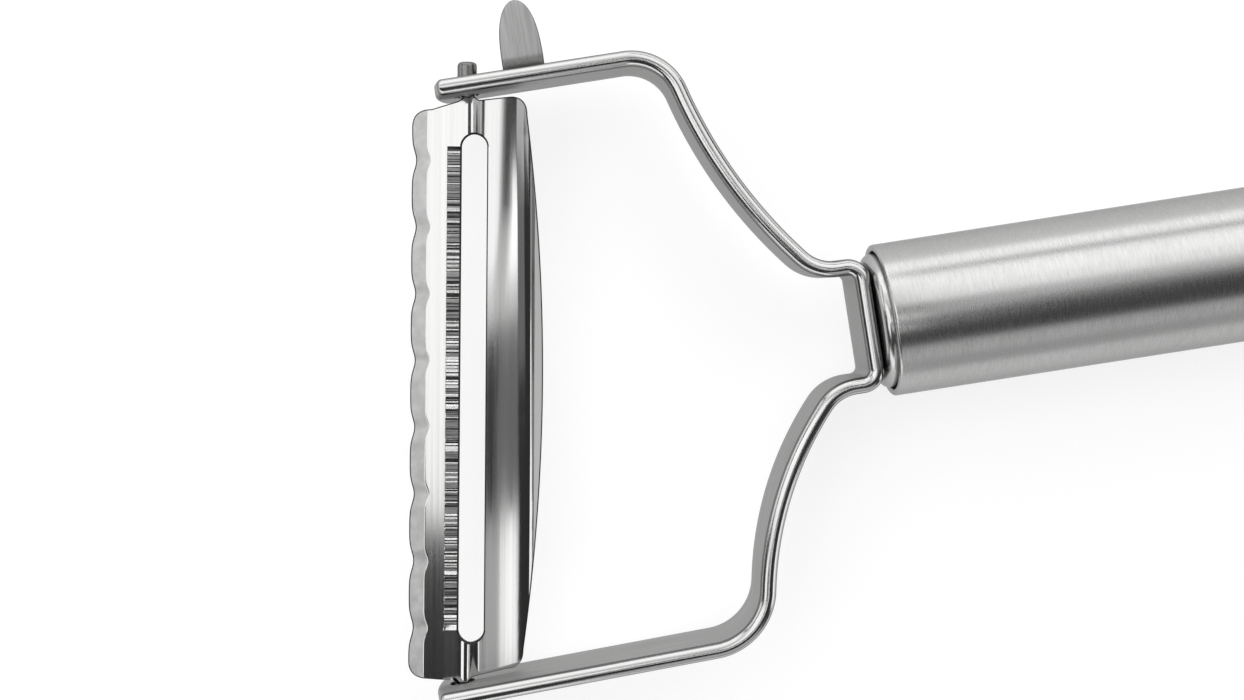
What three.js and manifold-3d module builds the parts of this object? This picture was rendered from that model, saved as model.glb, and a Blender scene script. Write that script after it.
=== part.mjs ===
// Wide swivel vegetable peeler: tube handle, flat-wire yoke, skewed swivelling blade and eye remover.
// Millimetres, +Z up. The peeler lies on a table: the handle runs along +X and the yoke lies level.

import * as THREE from 'three';
import { mergeVertices } from 'three/addons/utils/BufferGeometryUtils.js';
import Module from 'manifold-3d';

// Clearances
const TUBE_FIT = 0.1; // radial gap of a plug or cap in the tube's bore
const WELD_SEAT = 0.1; // gap between two faces that are welded together
const RING_SEAT = 0.3; // gap round the ring in the cap's notch
const PIVOT_GAP = 0.3; // radial gap of a blade pin in its hole

// Handle tube
const TUBE_LENGTH = 115;
const TUBE_RADIUS = 9;
const TUBE_WALL = 0.8;
const TUBE_RIM = 0.35; // rounding of both rims

// Front plug, which closes the tube and carries the yoke
const PLUG_STAND = 1.1; // nose in front of the tube's rim
const PLUG_RELIEF = 0.25; // dark ring between the nose and the tube
const PLUG_ROUND = 0.9;
const PLUG_RELIEF_DEPTH = 1;
const PLUG_DEPTH = 6;

// Rear cap and hanging ring
const CAP_DEPTH = 7;
const CAP_FLANGE = 1.6;
const CAP_DOME = 6;
const RING_RADIUS = 8.5; // centreline
const RING_WIRE = 1.4;
const RING_SINK = 2.4; // depth of the wire in the dome

// Yoke, one flat wire with round edges, bent in the plane of the peeler
const STRIP_WIDTH = 10.6;
const STRIP_THICKNESS = 1.9;
const TIP_ROUND = 1.2; // corners of the cut tips, seen from the side
const TIP_EDGE = 0.55; // upright edges of the tips
const NECK_HALF = 6.85; // handle axis to the neck's centreline
const NECK_STRAIGHT = 0.9;
const NECK_RADIUS = 5.2;
const CORNER_INSIDE = 0.8; // inside radius where the bridge turns into a neck
const BEND_SETBACK = 25.5; // tube's end to the centre of an arm's bend
const ARM_HALF = 34.5; // handle axis to an arm's centreline at its bend
// Side of the handle axis, tip beyond the pivot axis, splay in degrees, and radii of the bend and the sweep
const TOP_ARM = { side: 1, overhang: 3.82, splay: 0, bend: 6, sweep: 58 };
const BOTTOM_ARM = { side: -1, overhang: 2.83, splay: 1.8, bend: 7.2, sweep: 41 };

// Blade, one stamped sheet on a skewed pivot, measured from the pivot axis
const PIVOT_SETBACK = 49.6; // tube's end to the pivot axis, on the handle axis
const SKEW = THREE.MathUtils.degToRad(9.25);
const SHEET = 0.8;
const FACE_RISE = 0.45; // top face over the pivot axis
const PIN_RADIUS = 1.15;
const PIN_STAND = 2.1; // pin beyond the arm's outer face
const PIN_ROUND = 0.5;
const PIN_ROOT = 0.7; // length over which a pin swells out of the neck
const PIN_NECK_FRONT = 0.16; // neck of a pin, in front of the pivot axis and behind it
const PIN_NECK_REAR = 0.57;
const PIN_NECK_RISE = 1; // neck beyond the shoulder
const SHOULDER_FRONT = 1.12; // where the shoulders turn into the neck
const SHOULDER_REAR = 1.58;
const GUARD_REACH = 6.45; // wavy edge in front of the pivot axis
const GUARD_BEVEL = 1.9;
const GUARD_EDGE = 0.3; // thickness left at the wavy edge
const NOTCH_COUNT = 8;
const NOTCH_DEPTH = 0.5;
const NOTCH_SPREAD = 1.5;
const BEVEL_SPREAD = 1; // the bevel's inner line has narrower waves than the edge
const SLOT_FRONT = 0.6; // cutting edge in front of the pivot axis
const SLOT_WIDTH = 3.05;
const CUT_BEVEL = 1.7;
const CUT_EDGE = 0.12; // thickness left at the cutting edge
const CUT_INSET = 1.25; // slot's end to the start of the cutting edge
const TOOTH_PITCH = 0.7;
const TOOTH_DEPTH = 0.12;
const RIDGE_RADIUS = 1;
const RIDGE_OFFSET = 0.85; // ridge behind the pivot axis
const RIDGE_RISE = 0.5; // over the top face
const FLAP_START = 4.1; // where the rear of the sheet begins to bend down
const FLAP_RADIUS = 5.65;
const FLAP_TURN = THREE.MathUtils.degToRad(68);
const FLAP_REACH = 9.2; // rear edge behind the pivot axis, at mid-length
const FLAP_CROWN = 2.2; // how far the rear edge falls back towards the corners
const CORNER_REACH = 5.2; // rear corners' rounding starts here
const FRONT_CORNER = 2.3;
const REAR_CORNER = 2.2;
const FACET_LINE = 7.75; // inner line of the facet ground along the rear edge
const FACET_TURN = THREE.MathUtils.degToRad(22); // how much steeper it is than the flap there
// Gaps from an arm's inner face to the blade: at the pin, at the front and rear corners, guard and slot
const TOP_END = { front: 0.45, frontCorner: 0.9, rear: 0.7, rearCorner: 0.85, guard: 3.65, slot: 4.5 };
const BOTTOM_END = { front: 0.4, frontCorner: 1.2, rear: 0.45, rearCorner: 0.6, guard: 2.4, slot: 4.75 };

// Eye remover, a bent tongue welded on the outer face of the top arm
const EYE_SETBACK = 37; // tube's end to the tongue's middle
const EYE_HEIGHT = 8;
const EYE_WIDTH = 4.9;
const EYE_SHEET = 0.8;
const EYE_FRONT = 2.5; // front face over the yoke's middle plane
const EYE_BEND = 1.5; // outside radius of the bend
const EYE_FOOT = 5.5; // foot from the front face to its rear end
const EYE_TAPER = 3; // exponent of the tongue's rounded outline

// Fineness of the round surfaces
const TURNED_SIDES = 48; // handle tube, plug and cap
const PIN_SIDES = 24; // pins, their holes and the ribs
const WIRE_SIDES = 12; // the ring's wire, and the yoke's two round edges together
const RING_SIDES = 40;
const CURVE_STEPS = 12; // each curve of the blade's outline
const NOTCH_STEPS = 10; // each wave of the blade's front edge
const TIP_STEPS = 3; // each rounded corner of an arm's tip

const wasm = await Module();
wasm.setup();

const AXIS_HEIGHT = TUBE_RADIUS * Math.cos(Math.PI / TURNED_SIDES); // one facet lies on the table
const BORE_RADIUS = TUBE_RADIUS - TUBE_WALL;

function steel(color, roughness) {
  return new THREE.MeshStandardMaterial({ color, roughness, metalness: 1 });
}

function named(name, geometry, material) {
  const mesh = new THREE.Mesh(geometry, material);
  mesh.name = name;
  return mesh;
}

// A closed geometry as a solid that can be joined and cut
function solid(geometry) {
  const bare = geometry.clone();
  bare.deleteAttribute('normal');
  bare.deleteAttribute('uv');
  const welded = mergeVertices(bare);
  const corners = welded.index.array;
  const kept = [];
  for (let i = 0; i < corners.length; i += 3) {
    const [a, b, c] = [corners[i], corners[i + 1], corners[i + 2]];
    if (a !== b && b !== c && c !== a) kept.push(a, b, c);
  }
  const vertProperties = new Float32Array(welded.attributes.position.array);
  return new wasm.Manifold(new wasm.Mesh({ numProp: 3, vertProperties, triVerts: new Uint32Array(kept) }));
}

function geometryOf(body) {
  const mesh = body.getMesh();
  const geometry = new THREE.BufferGeometry();
  geometry.setAttribute('position', new THREE.BufferAttribute(mesh.vertProperties, 3));
  geometry.setIndex(new THREE.BufferAttribute(mesh.triVerts, 1));
  geometry.computeVertexNormals();
  return geometry;
}

// Skin through convex rings of points, each running right-handed about the way on, closed at both ends
function loft(rings) {
  const count = rings[0].length;
  const index = [];
  for (let i = 0; i + 1 < rings.length; i++) {
    for (let j = 0; j < count; j++) {
      const a = i * count + j;
      const b = i * count + ((j + 1) % count);
      index.push(a, b, b + count, a, b + count, a + count);
    }
  }
  const last = (rings.length - 1) * count;
  for (let j = 1; j + 1 < count; j++) index.push(0, j + 1, j, last, last + j, last + j + 1);
  const geometry = new THREE.BufferGeometry().setFromPoints(rings.flat());
  geometry.setIndex(index);
  return geometry;
}

// A closed profile of (radius, distance) turned about +X
function turned(profile) {
  const geometry = new THREE.LatheGeometry(profile.getPoints(2), TURNED_SIDES, Math.PI / TURNED_SIDES);
  return geometry.rotateZ(-Math.PI / 2);
}

// A prism of a plan outline in X and Y, through the sheet from below to above
function planPrism(shape) {
  const depth = 4 * FLAP_RADIUS;
  const prism = new THREE.ExtrudeGeometry(shape, { depth, bevelEnabled: false, curveSegments: CURVE_STEPS });
  return prism.translate(0, 0, -depth / 2);
}

function makeTube() {
  const profile = new THREE.Path()
    .moveTo(BORE_RADIUS, TUBE_RIM)
    .absarc(BORE_RADIUS + TUBE_RIM, TUBE_RIM, TUBE_RIM, Math.PI, Math.PI * 1.5)
    .absarc(TUBE_RADIUS - TUBE_RIM, TUBE_RIM, TUBE_RIM, Math.PI * 1.5, Math.PI * 2)
    .absarc(TUBE_RADIUS - TUBE_RIM, TUBE_LENGTH - TUBE_RIM, TUBE_RIM, 0, Math.PI / 2)
    .absarc(BORE_RADIUS + TUBE_RIM, TUBE_LENGTH - TUBE_RIM, TUBE_RIM, Math.PI / 2, Math.PI)
    .lineTo(BORE_RADIUS, TUBE_RIM);
  return turned(profile);
}

// A turned disc: a round-edged nose in front of the tube and a wider shank in its bore
function makePlug() {
  const shank = BORE_RADIUS - TUBE_FIT;
  const nose = BORE_RADIUS - PLUG_RELIEF;
  const profile = new THREE.Path()
    .moveTo(0, -PLUG_STAND)
    .lineTo(nose - PLUG_ROUND, -PLUG_STAND)
    .absarc(nose - PLUG_ROUND, PLUG_ROUND - PLUG_STAND, PLUG_ROUND, Math.PI * 1.5, Math.PI * 2)
    .lineTo(nose, PLUG_RELIEF_DEPTH)
    .lineTo(shank, PLUG_RELIEF_DEPTH)
    .lineTo(shank, PLUG_DEPTH)
    .lineTo(0, PLUG_DEPTH);
  return turned(profile);
}

function ringOf(wire) {
  return new THREE.TorusGeometry(RING_RADIUS, wire, WIRE_SIDES, RING_SIDES);
}

// A domed cap on the tube's rear end, notched across its top for the ring
function makeCap(ringCentre) {
  const shank = BORE_RADIUS - TUBE_FIT;
  const profile = new THREE.Path()
    .moveTo(0, -CAP_DEPTH)
    .lineTo(shank, -CAP_DEPTH)
    .lineTo(shank, WELD_SEAT)
    .lineTo(TUBE_RADIUS - TUBE_RIM, WELD_SEAT)
    .absarc(TUBE_RADIUS - TUBE_RIM, WELD_SEAT + TUBE_RIM, TUBE_RIM, Math.PI * 1.5, Math.PI * 2)
    .lineTo(TUBE_RADIUS, CAP_FLANGE)
    .absellipse(0, CAP_FLANGE, TUBE_RADIUS, CAP_DOME, 0, Math.PI / 2);
  const notch = ringOf(RING_WIRE + RING_SEAT).translate(ringCentre, 0, 0);
  return geometryOf(solid(turned(profile)).subtract(solid(notch)));
}

// Where circles round a and b meet, on the left of the way from a to b
function circlesMeet(a, radiusA, b, radiusB) {
  const way = b.clone().sub(a);
  const span = way.length();
  const along = (radiusA ** 2 - radiusB ** 2 + span ** 2) / (2 * span);
  const across = Math.sqrt(radiusA ** 2 - along ** 2);
  way.divideScalar(span);
  return a.clone().addScaledVector(way, along).add(new THREE.Vector2(-way.y, way.x).multiplyScalar(across));
}

// An arm's straight end: its bend's centre, the ways outward and on, and both ends of its centreline
function armEnd(arm) {
  const centre = new THREE.Vector2(-BEND_SETBACK, ARM_HALF - arm.bend);
  const splay = THREE.MathUtils.degToRad(arm.splay);
  const outward = new THREE.Vector2(Math.sin(splay), Math.cos(splay));
  const way = new THREE.Vector2(-outward.y, outward.x);
  const start = centre.clone().addScaledVector(outward, arm.bend);
  const square = new THREE.Vector2(Math.cos(SKEW), -arm.side * Math.sin(SKEW));
  const toPivot = new THREE.Vector2(-PIVOT_SETBACK, 0).sub(start);
  const tip = start.clone().addScaledVector(way, square.dot(toPivot) / square.dot(way) + arm.overhang);
  return { centre, outward, way, start, tip };
}

// Centreline of one half of the yoke, from the arm's tip to the bridge, all arcs tangent to their neighbours
function armLine(arm) {
  const { centre, outward, start, tip } = armEnd(arm);
  const corner = CORNER_INSIDE + STRIP_THICKNESS / 2;
  const bridge = -(PLUG_STAND + WELD_SEAT + STRIP_THICKNESS / 2);
  const neck = new THREE.Vector2(bridge - corner - NECK_STRAIGHT, NECK_HALF + NECK_RADIUS);
  const sweep = circlesMeet(centre, arm.sweep + arm.bend, neck, arm.sweep - NECK_RADIUS);
  const toSweep = sweep.clone().sub(centre).angle();
  const toNeck = neck.clone().sub(sweep).angle();
  const line = new THREE.Path()
    .moveTo(tip.x, tip.y)
    .lineTo(start.x, start.y)
    .absarc(centre.x, centre.y, arm.bend, outward.angle(), toSweep, true)
    .absarc(sweep.x, sweep.y, arm.sweep, toSweep + Math.PI, toNeck)
    .absarc(neck.x, neck.y, NECK_RADIUS, toNeck, Math.PI * 1.5)
    .absarc(bridge - corner, NECK_HALF - corner, corner, Math.PI / 2, 0, true);
  return line.getPoints(4);
}

// Points near an arm's tip, each with how far its section is drawn in, in height and in thickness
function roundedTip(points) {
  const way = points[1].clone().sub(points[0]).normalize();
  const drawnIn = (radius, back) => radius - Math.sqrt(radius ** 2 - Math.max(radius - back, 0) ** 2);
  return Array.from({ length: TIP_STEPS + 1 }, (_, k) => {
    const back = TIP_ROUND * (1 - Math.cos((k * Math.PI) / (2 * TIP_STEPS)));
    const at = points[0].clone().addScaledVector(way, back);
    return { at, inset: drawnIn(TIP_ROUND, back), pinch: drawnIn(TIP_EDGE, back) };
  });
}

function makeYoke() {
  const half = (arm) => {
    const points = armLine(arm);
    const stations = [...roundedTip(points), ...points.slice(1).map((at) => ({ at, inset: 0, pinch: 0 }))];
    for (const { at } of stations) at.y *= arm.side;
    return stations;
  };
  const stations = [...half(TOP_ARM), ...half(BOTTOM_ARM).reverse()];
  const edge = STRIP_THICKNESS / 2;
  const rings = stations.map(({ at, inset, pinch }, i) => {
    const before = stations[Math.max(i - 1, 0)].at;
    const after = stations[Math.min(i + 1, stations.length - 1)].at;
    const way = after.clone().sub(before).normalize();
    const flat = STRIP_WIDTH / 2 - edge - inset;
    const ring = [];
    for (let k = 0; k < WIRE_SIDES; k++) {
      const angle = ((k + 0.5) * 2 * Math.PI) / WIRE_SIDES;
      const across = (edge - pinch) * Math.cos(angle);
      const rise = edge * Math.sin(angle) + Math.sign(Math.sin(angle)) * flat;
      ring.push(new THREE.Vector3(at.x - way.y * across, at.y + way.x * across, rise));
    }
    return ring;
  });
  const hole = PIN_RADIUS + PIVOT_GAP;
  const holes = new THREE.CylinderGeometry(hole, hole, 4 * ARM_HALF, PIN_SIDES);
  holes.rotateZ(-SKEW).translate(-PIVOT_SETBACK, 0, 0);
  return geometryOf(solid(loft(rings)).subtract(solid(holes)));
}

// An arm's face in the blade's own frame: distance along the pivot at a place across it
function armFace(arm, offset) {
  const { outward, start, way } = armEnd(arm);
  const toBlade = (point) => {
    const shifted = new THREE.Vector2(point.x + PIVOT_SETBACK, arm.side * point.y);
    return shifted.rotateAround(new THREE.Vector2(), SKEW);
  };
  const a = toBlade(start.clone().addScaledVector(outward, offset));
  const b = toBlade(start.clone().addScaledVector(outward, offset).add(way));
  return (across) => a.y + ((b.y - a.y) * (across - a.x)) / (b.x - a.x);
}

// Where the blade's ends and its pins' tips lie, taken from the two arms
function bladeEnds() {
  const inside = -STRIP_THICKNESS / 2;
  const ends = [
    { arm: TOP_ARM, gaps: TOP_END },
    { arm: BOTTOM_ARM, gaps: BOTTOM_END },
  ];
  return ends.map(({ arm, gaps }) => {
    const { side } = arm;
    const face = armFace(arm, inside);
    const outer = armFace(arm, -inside);
    const shoulder = (across, gap) => new THREE.Vector2(across, face(across) - side * gap);
    return {
      side,
      frontCorner: shoulder(-GUARD_REACH + FRONT_CORNER, gaps.frontCorner),
      front: shoulder(-SHOULDER_FRONT, gaps.front),
      rear: shoulder(SHOULDER_REAR, gaps.rear),
      rearCorner: shoulder(CORNER_REACH, gaps.rearCorner),
      guard: face(0) - side * gaps.guard,
      slot: face(0) - side * gaps.slot,
      tip: outer(0) + side * PIN_STAND,
    };
  });
}

// The wavy front edge, or its bevel's inner line: how far it is drawn back at a place along the pivot
function notchDepth(along, top, bottom, spread) {
  const pitch = (top.guard - bottom.guard) / NOTCH_COUNT;
  const cell = (along - bottom.guard) / pitch;
  const away = (cell - Math.floor(cell) - 0.5) * pitch;
  const inside = along < top.guard && along > bottom.guard;
  return inside ? NOTCH_DEPTH * Math.exp(-((away / spread) ** 2)) : 0;
}

// Places along the wavy edge, from its top end to its bottom end
function guardPlaces(top, bottom) {
  const steps = NOTCH_COUNT * NOTCH_STEPS;
  return Array.from({ length: steps + 1 }, (_, i) => top.guard + ((bottom.guard - top.guard) * i) / steps);
}

// Plan of the blade: wavy front edge, crowned rear edge, sloped shoulders with a pin's neck at each end
function bladePlan(top, bottom) {
  const rearEdge = (end) => FLAP_REACH - FLAP_CROWN * (1 - REAR_CORNER / Math.abs(end.rearCorner.y));
  const neckFront = -(PIN_NECK_FRONT + SHOULDER_FRONT) / 2;
  const neckRear = (PIN_NECK_REAR + SHOULDER_REAR) / 2;
  const plan = new THREE.Shape().moveTo(-PIN_NECK_FRONT, top.front.y + PIN_NECK_RISE);
  plan.quadraticCurveTo(neckFront, top.front.y, top.front.x, top.front.y);
  plan.lineTo(top.frontCorner.x, top.frontCorner.y);
  plan.quadraticCurveTo(-GUARD_REACH, top.frontCorner.y, -GUARD_REACH, top.guard);
  for (const along of guardPlaces(top, bottom)) {
    plan.lineTo(notchDepth(along, top, bottom, NOTCH_SPREAD) - GUARD_REACH, along);
  }
  plan.quadraticCurveTo(-GUARD_REACH, bottom.frontCorner.y, bottom.frontCorner.x, bottom.frontCorner.y);
  plan.lineTo(bottom.front.x, bottom.front.y);
  plan.quadraticCurveTo(neckFront, bottom.front.y, -PIN_NECK_FRONT, bottom.front.y - PIN_NECK_RISE);
  plan.lineTo(PIN_NECK_REAR, bottom.rear.y - PIN_NECK_RISE);
  plan.quadraticCurveTo(neckRear, bottom.rear.y, bottom.rear.x, bottom.rear.y);
  plan.lineTo(bottom.rearCorner.x, bottom.rearCorner.y);
  const low = bottom.rearCorner.y + REAR_CORNER;
  const high = top.rearCorner.y - REAR_CORNER;
  plan.quadraticCurveTo(rearEdge(bottom), bottom.rearCorner.y, rearEdge(bottom), low);
  plan.quadraticCurveTo(2 * FLAP_REACH - rearEdge(top), (low + high) / 2, rearEdge(top), high);
  plan.quadraticCurveTo(rearEdge(top), top.rearCorner.y, top.rearCorner.x, top.rearCorner.y);
  plan.lineTo(top.rear.x, top.rear.y);
  plan.quadraticCurveTo(neckRear, top.rear.y, PIN_NECK_REAR, top.rear.y + PIN_NECK_RISE);
  return planPrism(plan);
}

// A prism of a section across the pivot, from one pin's tip to the other
function alongPivot(section, top, bottom) {
  const options = { depth: top.tip - bottom.tip, bevelEnabled: false, curveSegments: CURVE_STEPS };
  const prism = new THREE.ExtrudeGeometry(section, options);
  return prism.rotateX(Math.PI / 2).translate(0, top.tip, 0);
}

// Section of the sheet across the pivot: flat in front, bent down along the rear
function bladeSheet(top, bottom) {
  const middle = FACE_RISE - SHEET / 2;
  const turnEnd = Math.PI / 2 - FLAP_TURN;
  const front = -2 * GUARD_REACH;
  const section = new THREE.Shape()
    .moveTo(front, FACE_RISE)
    .lineTo(front, FACE_RISE - SHEET)
    .absarc(FLAP_START, middle - FLAP_RADIUS, FLAP_RADIUS - SHEET / 2, Math.PI / 2, turnEnd, true)
    .absarc(FLAP_START, middle - FLAP_RADIUS, FLAP_RADIUS + SHEET / 2, turnEnd, Math.PI / 2);
  return alongPivot(section, top, bottom);
}

// Cuts the facet that is ground along the rear edge of the flap
function facetCutter(top, bottom) {
  const radius = FLAP_RADIUS + SHEET / 2;
  const turn = Math.asin((FACET_LINE - FLAP_START) / radius);
  const rise = FACE_RISE - radius * (1 - Math.cos(turn));
  const slope = turn + FACET_TURN;
  const reach = 2 * FLAP_RADIUS;
  const section = new THREE.Shape()
    .moveTo(FACET_LINE, rise)
    .lineTo(FACET_LINE + reach * Math.cos(slope), rise - reach * Math.sin(slope))
    .lineTo(FACET_LINE + reach, rise + reach);
  return alongPivot(section, top, bottom);
}

function slotPrism(top, bottom) {
  const radius = SLOT_WIDTH / 2;
  const middle = radius - SLOT_FRONT;
  const slot = new THREE.Shape()
    .absarc(middle, top.slot - radius, radius, 0, Math.PI)
    .absarc(middle, bottom.slot + radius, radius, Math.PI, Math.PI * 2);
  return planPrism(slot);
}

// Cuts the bevel of the wavy edge, which follows the notches
function guardCutter(top, bottom) {
  const drop = SHEET - GUARD_EDGE;
  const run = [top.tip, ...guardPlaces(top, bottom), bottom.tip];
  return loft(
    run.map((along) => {
      const line = notchDepth(along, top, bottom, BEVEL_SPREAD) - GUARD_REACH + GUARD_BEVEL;
      return [
        new THREE.Vector3(line + GUARD_BEVEL, along, FACE_RISE + drop),
        new THREE.Vector3(line - 2 * GUARD_BEVEL, along, FACE_RISE + drop),
        new THREE.Vector3(line - 2 * GUARD_BEVEL, along, FACE_RISE - 2 * drop),
      ];
    }),
  );
}

// Cuts the toothed bevel of the cutting edge: a zigzag drawn along the bevel's slope
function toothCutter(top, bottom) {
  const drop = SHEET - CUT_EDGE;
  const slope = new THREE.Vector3(CUT_BEVEL, 0, -drop).normalize();
  const along = new THREE.Vector3(0, 1, 0);
  const out = new THREE.Vector3().crossVectors(slope, along);
  const high = top.slot - CUT_INSET;
  const low = bottom.slot + CUT_INSET;
  const flanks = 2 * Math.floor((high - low) / TOOTH_PITCH);
  const zigzag = new THREE.Shape().moveTo(high, SHEET);
  for (let i = flanks; i >= 0; i--) {
    zigzag.lineTo(low + ((high - low) * i) / flanks, (i % 2) * TOOTH_DEPTH);
  }
  zigzag.lineTo(low, SHEET);
  const depth = 4 * CUT_BEVEL;
  const cutter = new THREE.ExtrudeGeometry(zigzag, { depth, bevelEnabled: false });
  const place = new THREE.Matrix4().makeBasis(along, out, slope);
  place.setPosition(-SLOT_FRONT - 2 * CUT_BEVEL, 0, FACE_RISE + drop);
  return cutter.applyMatrix4(place);
}

// A round pin that swells out of the blade's neck and goes out through the arm to a rounded tip
function bladePin(end) {
  const length = Math.abs(end.tip - end.front.y) - PIN_NECK_RISE + PIN_ROOT;
  const profile = new THREE.Path()
    .moveTo(0, 0)
    .absellipse(0, PIN_ROOT, PIN_RADIUS, PIN_ROOT, -Math.PI / 2, 0)
    .absarc(PIN_RADIUS - PIN_ROUND, length - PIN_ROUND, PIN_ROUND, 0, Math.PI / 2)
    .lineTo(0, length);
  const pin = new THREE.LatheGeometry(profile.getPoints(3), PIN_SIDES);
  if (end.side < 0) pin.rotateX(Math.PI);
  return pin.translate(0, end.tip - end.side * length, 0);
}

// The half-round rib pressed into the sheet, from the slot over the neck
function bladeRidge(end) {
  const inSlot = end.slot - end.side * SLOT_WIDTH;
  const length = Math.abs(end.tip - inSlot);
  const ridge = new THREE.CylinderGeometry(RIDGE_RADIUS, RIDGE_RADIUS, length, PIN_SIDES);
  return ridge.translate(RIDGE_OFFSET, (end.tip + inSlot) / 2, FACE_RISE + RIDGE_RISE - RIDGE_RADIUS);
}

function makeBlade() {
  const [top, bottom] = bladeEnds();
  let blade = solid(bladeSheet(top, bottom));
  for (const end of [top, bottom]) blade = blade.add(solid(bladeRidge(end)));
  blade = blade.intersect(solid(bladePlan(top, bottom)));
  blade = blade.subtract(solid(slotPrism(top, bottom)));
  blade = blade.subtract(solid(facetCutter(top, bottom)));
  blade = blade.subtract(solid(guardCutter(top, bottom)));
  blade = blade.subtract(solid(toothCutter(top, bottom)));
  for (const end of [top, bottom]) blade = blade.add(solid(bladePin(end)));
  return geometryOf(blade);
}

// A tongue bent over at its base, cut from an angle section by its rounded outline
function makeEyeRemover() {
  const bend = new THREE.Shape()
    .moveTo(EYE_FRONT, EYE_HEIGHT)
    .lineTo(EYE_FRONT - EYE_SHEET, EYE_HEIGHT)
    .absarc(EYE_FRONT - EYE_BEND, EYE_BEND, EYE_BEND - EYE_SHEET, 0, -Math.PI / 2, true)
    .lineTo(EYE_FRONT - EYE_FOOT, EYE_SHEET)
    .lineTo(EYE_FRONT - EYE_FOOT, 0)
    .absarc(EYE_FRONT - EYE_BEND, EYE_BEND, EYE_BEND, -Math.PI / 2, 0);
  const options = { depth: 2 * EYE_WIDTH, bevelEnabled: false, curveSegments: CURVE_STEPS / 2 };
  const angle = new THREE.ExtrudeGeometry(bend, options);
  angle.rotateY(-Math.PI / 2).translate(EYE_WIDTH, 0, 0);
  const outline = new THREE.Shape().moveTo(EYE_WIDTH / 2, -EYE_SHEET);
  for (let i = 0; i <= 2 * CURVE_STEPS; i++) {
    const across = Math.cos((i * Math.PI) / (2 * CURVE_STEPS));
    outline.lineTo((EYE_WIDTH / 2) * across, EYE_HEIGHT * (1 - across ** 2) ** (1 / EYE_TAPER));
  }
  outline.lineTo(-EYE_WIDTH / 2, -EYE_SHEET);
  const tongue = new THREE.ExtrudeGeometry(outline, { depth: 2 * EYE_FOOT, bevelEnabled: false });
  tongue.translate(0, 0, EYE_FRONT - 1.5 * EYE_FOOT);
  return geometryOf(solid(angle).intersect(solid(tongue)));
}

const peeler = new THREE.Group();

const handle = new THREE.Group();
handle.position.set(-TUBE_LENGTH / 2, 0, AXIS_HEIGHT);
handle.add(named('handle_tube', makeTube(), steel(0xb4b3b1, 0.36)));
handle.add(named('front_plug', makePlug(), steel(0xc4c4c4, 0.16)));
peeler.add(handle);

const rear = new THREE.Group();
rear.position.set(TUBE_LENGTH / 2, 0, AXIS_HEIGHT);
const ringCentre = CAP_FLANGE + CAP_DOME + RING_RADIUS + RING_WIRE - RING_SINK;
rear.add(named('rear_cap', makeCap(ringCentre), steel(0xc2c2c1, 0.2)));
const ring = named('hanging_ring', ringOf(RING_WIRE), steel(0xc6c6c6, 0.15));
ring.position.x = ringCentre;
rear.add(ring);
peeler.add(rear);

const head = new THREE.Group();
head.position.copy(handle.position);
head.add(named('yoke', makeYoke(), steel(0xbcbcbb, 0.22)));
const blade = named('blade', makeBlade(), steel(0xcacaca, 0.2));
blade.position.x = -PIVOT_SETBACK;
blade.rotation.z = -SKEW;
head.add(blade);
const eyeRemover = named('eye_remover', makeEyeRemover(), steel(0xa8a7a5, 0.34));
eyeRemover.position.set(-EYE_SETBACK, ARM_HALF + STRIP_THICKNESS / 2 + WELD_SEAT, 0);
head.add(eyeRemover);
peeler.add(head);

export default peeler;
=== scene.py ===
import bmesh
import bpy
import numpy as np
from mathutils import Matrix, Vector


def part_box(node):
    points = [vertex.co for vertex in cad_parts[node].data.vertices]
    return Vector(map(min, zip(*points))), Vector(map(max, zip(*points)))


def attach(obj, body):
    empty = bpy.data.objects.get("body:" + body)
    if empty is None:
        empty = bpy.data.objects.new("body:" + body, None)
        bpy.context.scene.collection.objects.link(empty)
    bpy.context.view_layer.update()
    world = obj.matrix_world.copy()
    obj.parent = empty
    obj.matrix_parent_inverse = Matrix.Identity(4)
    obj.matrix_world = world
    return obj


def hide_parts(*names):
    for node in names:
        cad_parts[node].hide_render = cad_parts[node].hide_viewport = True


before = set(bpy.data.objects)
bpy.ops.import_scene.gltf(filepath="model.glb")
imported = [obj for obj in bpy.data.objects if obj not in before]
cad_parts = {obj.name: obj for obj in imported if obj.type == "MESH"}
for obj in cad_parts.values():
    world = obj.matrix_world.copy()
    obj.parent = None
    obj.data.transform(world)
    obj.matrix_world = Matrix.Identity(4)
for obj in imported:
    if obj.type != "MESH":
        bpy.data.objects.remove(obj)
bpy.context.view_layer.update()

# Handle tube: a length of thin stainless tube, cut square, with both rims rolled round.
# A belt brushes it round and round, so its grain is short fine scratches across the axis.
MM = 0.001
tube_low, tube_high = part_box("handle_tube")
tube_front, tube_rear = tube_low.x, tube_high.x
axis_height = (tube_low.z + tube_high.z) / 2
tube_radius = (tube_high.z - tube_low.z) / 2
tube_bore = tube_radius - 0.8 * MM
rim_round = 0.35 * MM
turned_sides = 192


def arc(centre, radius, start, stop, steps):
    """Points of a circle's arc: the centre plus the radius turned from one angle to another, in degrees."""
    angle = np.radians(np.linspace(start, stop, steps + 1))
    return np.array(centre) + radius * np.stack([np.cos(angle), np.sin(angle)], -1)


def line(start, stop, steps):
    """Points spaced evenly on the straight line between two points."""
    return np.linspace(start, stop, steps + 1)


def turn(profile):
    """Surface of revolution: each (distance, radius) of the profile goes round the handle's axis."""
    angle = np.linspace(0, 2 * np.pi, turned_sides, endpoint=False)
    distance, radius = np.asarray(profile).T[..., None]
    across, over = radius * np.sin(angle), axis_height + radius * np.cos(angle)
    return np.stack(np.broadcast_arrays(distance, across, over), -1)


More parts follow.
